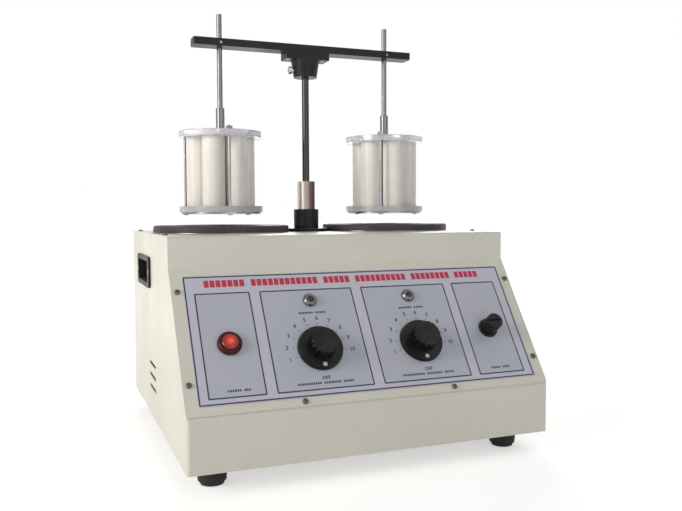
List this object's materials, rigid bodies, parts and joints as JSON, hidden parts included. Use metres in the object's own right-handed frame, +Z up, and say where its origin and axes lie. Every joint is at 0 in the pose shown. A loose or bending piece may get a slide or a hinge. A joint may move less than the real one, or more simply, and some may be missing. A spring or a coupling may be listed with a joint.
{
  "type": "tablet disintegration tester",
  "caption": "Bench tester with a motor-driven arm that dips baskets of open tubes above built-in hot plates, on a cabinet with a sloping control panel.",
  "frame": {"origin": "floor level under the rubber feet, in the middle of the bounding box in plan", "axes": "+Z up along the lifting rod; -Y towards the sloping control panel, which is the front; +X to the viewer's right from the front"},
  "size_m": [0.357, 0.3606, 0.4485],
  "materials": {
    "cream_paint": "fine textured powder coat, semi-matt",
    "panel_print": "printed sheet, satin",
    "black_moulding": "moulded, satin",
    "black_gloss": "moulded, glossy",
    "black_enamel": "black stove enamel, semi-gloss",
    "foot_rubber": "matt",
    "plate_iron": "matt black heat-proof coat on a turned casting",
    "bright_steel": "polished stainless steel",
    "plain_steel": "satin machined steel",
    "zinc_steel": "zinc-plated",
    "bearing_brass": "machined",
    "regulator_moulding": "thermosetting moulding, matt",
    "block_ceramic": "unglazed steatite",
    "maroon_moulding": "moulded, glossy",
    "red_lens": "translucent, glossy",
    "clear_lens": "clear, glossy",
    "plate_acrylic": "clear acrylic with polished edges",
    "tube_white": "milky translucent, smooth",
    "cast_alloy": "cast and painted grey"
  },
  "bodies": {
    "cabinet": {"cabinet_body": "cream_paint", "top_cover": "cream_paint", "panel_overlay": "panel_print", "cover_screws": "zinc_steel", "case_screws": "zinc_steel", "rubber_feet": "foot_rubber", "handle_left": "black_moulding", "handle_right": "black_moulding", "mains_inlet": "black_moulding", "hot_plate_left": "plate_iron", "hot_plate_right": "plate_iron", "plate_rings": "bright_steel", "plate_pans": "zinc_steel", "plate_straps": "zinc_steel", "plate_nuts": "zinc_steel", "heater_terminals": "block_ceramic", "regulator_left": "regulator_moulding", "regulator_right": "regulator_moulding", "panel_nuts": "bright_steel", "power_bezel": "maroon_moulding", "power_switch": "black_moulding", "heater_lamps": "bright_steel", "lamp_lenses": "clear_lens", "fuse_holder": "black_gloss", "drive_bracket": "zinc_steel", "gearbox": "cast_alloy", "motor": "cast_alloy", "guide_bush": "plain_steel", "column_base": "black_enamel"},
    "arm": {"lift_rod": "bright_steel", "yoke": "plain_steel", "arm_clamp": "black_enamel", "arm_bar": "black_enamel", "arm_screws": "zinc_steel"},
    "crank": {"crank_shaft": "bright_steel", "crank_disc": "plain_steel", "crank_pin": "bearing_brass"},
    "basket_left": {"basket_rod_left": "bright_steel", "basket_hub_left": "bright_steel", "upper_plate_left": "plate_acrylic", "lower_plate_left": "plate_acrylic", "tubes_left": "tube_white", "wire_mesh_left": "bright_steel", "mesh_retainer_left": "bright_steel", "tie_bolts_left": "bright_steel"},
    "basket_right": {"basket_rod_right": "bright_steel", "basket_hub_right": "bright_steel", "upper_plate_right": "plate_acrylic", "lower_plate_right": "plate_acrylic", "tubes_right": "tube_white", "wire_mesh_right": "bright_steel", "mesh_retainer_right": "bright_steel", "tie_bolts_right": "bright_steel"},
    "knob_left": {"control_knob_left": "black_gloss", "spindle_left": "plain_steel"},
    "knob_right": {"control_knob_right": "black_gloss", "spindle_right": "plain_steel"},
    "power_button": {"power_button": "red_lens"},
    "fuse_cap": {"fuse_cap": "black_gloss"}
  },
  "joints": [
    {"name": "lift_stroke", "type": "slide", "parent": "cabinet", "child": "arm", "axis": [0, 0, 1], "range_m": [0, 0.055]},
    {"name": "crank_turn", "type": "hinge", "parent": "cabinet", "child": "crank", "pos_m": [0, 0.03635, 0.14051], "axis": [0, 1, 0], "range_deg": [-1, 181]},
    {"name": "basket_left_height", "type": "slide", "parent": "arm", "child": "basket_left", "axis": [0, 0, 1], "range_m": [-0.008, 0.06]},
    {"name": "basket_right_height", "type": "slide", "parent": "arm", "child": "basket_right", "axis": [0, 0, 1], "range_m": [-0.008, 0.06]},
    {"name": "knob_left_turn", "type": "hinge", "parent": "cabinet", "child": "knob_left", "pos_m": [-0.049, -0.14973, 0.11227], "axis": [0, 0.8179, -0.5753], "range_deg": [0, 280]},
    {"name": "knob_right_turn", "type": "hinge", "parent": "cabinet", "child": "knob_right", "pos_m": [0.053, -0.14973, 0.11227], "axis": [0, 0.8179, -0.5753], "range_deg": [0, 280]},
    {"name": "power_press", "type": "slide", "parent": "cabinet", "child": "power_button", "axis": [0, 0.8179, -0.5753], "range_m": [0, 0.003], "stiffness_N_per_m": 300},
    {"name": "fuse_turn", "type": "hinge", "parent": "cabinet", "child": "fuse_cap", "pos_m": [0.13, -0.14483, 0.11922], "axis": [0, -0.8179, 0.5753], "range_deg": [0, 90]}
  ],
  "couplings": [
    {"joint": "crank_turn", "follows": "lift_stroke", "rad_per_m": 57.12}
  ]
}
